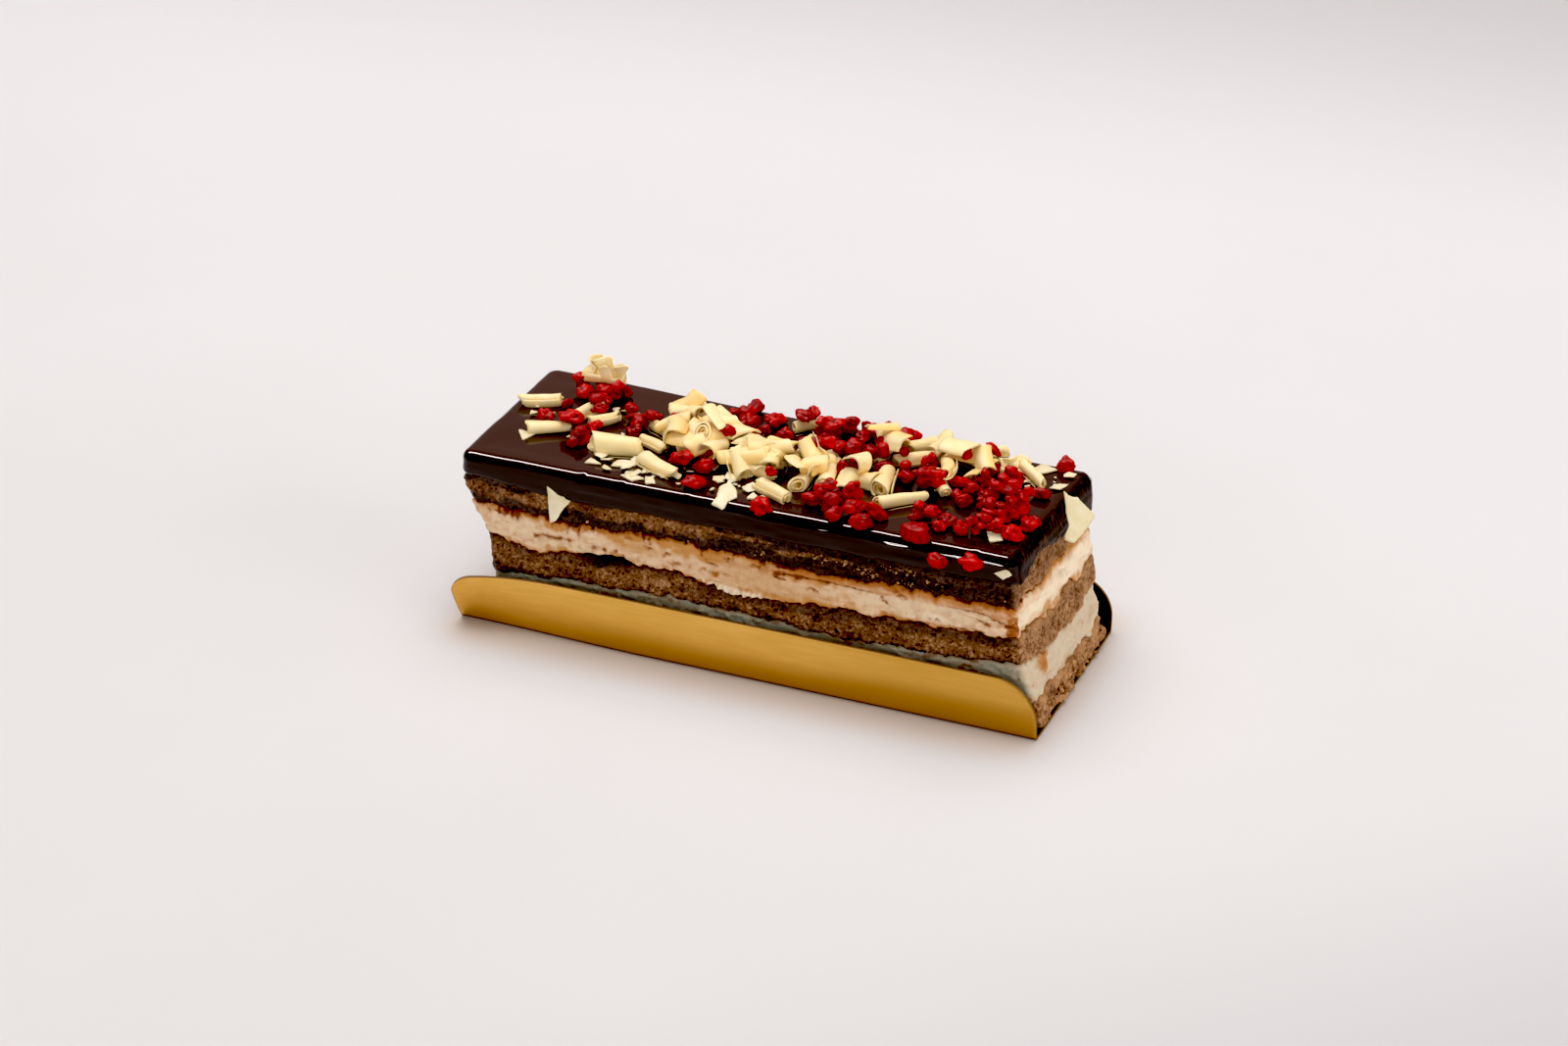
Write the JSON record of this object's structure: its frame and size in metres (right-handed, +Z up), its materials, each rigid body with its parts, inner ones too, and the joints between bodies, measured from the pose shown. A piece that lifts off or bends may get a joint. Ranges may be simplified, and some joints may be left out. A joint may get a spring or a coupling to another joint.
{
  "type": "black forest cake slice",
  "caption": "Bar-shaped slice of layered chocolate and cream cake with dark glaze, white chocolate curls and dried red fruit, lying in a folded gold card.",
  "frame": {"origin": "under the middle of the card", "axes": "+X along the slice towards its cut end on the right, +Y to the rear, +Z up"},
  "size_m": [0.1282, 0.0524, 0.0455],
  "materials": {
    "card": "satin gold",
    "sponge": "crumbly",
    "cream": "smooth, slightly wet",
    "glaze": "glossy",
    "white_chocolate": "waxy",
    "dried_fruit": "matt, pitted"
  },
  "bodies": {
    "root": {"card": "card", "sponge_bottom": "sponge", "cream_lower": "cream", "sponge_middle": "sponge", "cream_upper": "cream", "sponge_top": "sponge", "glaze": "glaze"}
  },
  "joints": []
}
